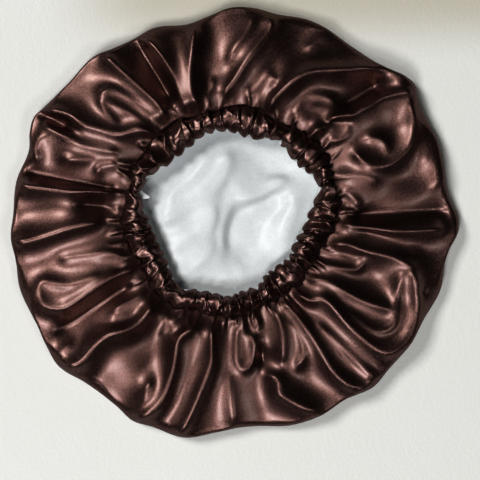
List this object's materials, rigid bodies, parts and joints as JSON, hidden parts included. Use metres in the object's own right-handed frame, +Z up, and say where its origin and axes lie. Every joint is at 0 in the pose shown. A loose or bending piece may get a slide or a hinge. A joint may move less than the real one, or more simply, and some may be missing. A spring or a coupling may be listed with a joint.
{
  "type": "sleep bonnet",
  "caption": "Round double-layer satin sleep bonnet lying crown down, with a gathered elastic mouth, radial folds and a pale lining.",
  "frame": {"origin": "on the floor, under the middle of the bonnet's outline", "axes": "+Z up out of the mouth, +X to the right and +Y to the top of the bonnet as seen from above"},
  "size_m": [0.3658, 0.3508, 0.0361],
  "materials": {
    "brown_satin": "glossy dark brown polyester satin",
    "casing_satin": "the same satin, tightly gathered",
    "elastic_band": "plain knitted elastic",
    "white_satin": "soft white satin"
  },
  "bodies": {
    "root": {"shell": "brown_satin", "casing": "casing_satin", "elastic": "elastic_band", "lining": "white_satin"}
  },
  "joints": []
}
